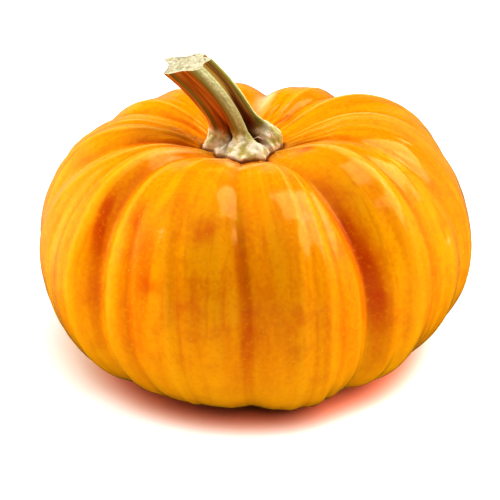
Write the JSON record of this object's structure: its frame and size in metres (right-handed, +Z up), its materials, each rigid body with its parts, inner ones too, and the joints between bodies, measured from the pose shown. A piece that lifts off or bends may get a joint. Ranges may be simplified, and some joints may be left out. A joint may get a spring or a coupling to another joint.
{
  "type": "pumpkin",
  "caption": "Whole ribbed cooking pumpkin with a cut, leaning woody stem, standing on its blossom end.",
  "frame": {"origin": "centre of the bottom of the whole pumpkin's box, in the plane it rests on", "axes": "+Z up from the blossom end to the stem; -Y is the front, with a shallow furrow down its middle; the stem leans towards -X"},
  "size_m": [0.1706, 0.176, 0.1229],
  "materials": {
    "skin": "orange pumpkin rind, semi-gloss and waxy, redder in the furrows, with fine pale specks",
    "stem": "dry matt woody stalk, brown facets between pale green-cream ridges, corky foot and pale fibrous cut face"
  },
  "bodies": {
    "root": {"fruit": "skin", "stem": "stem"}
  },
  "joints": []
}
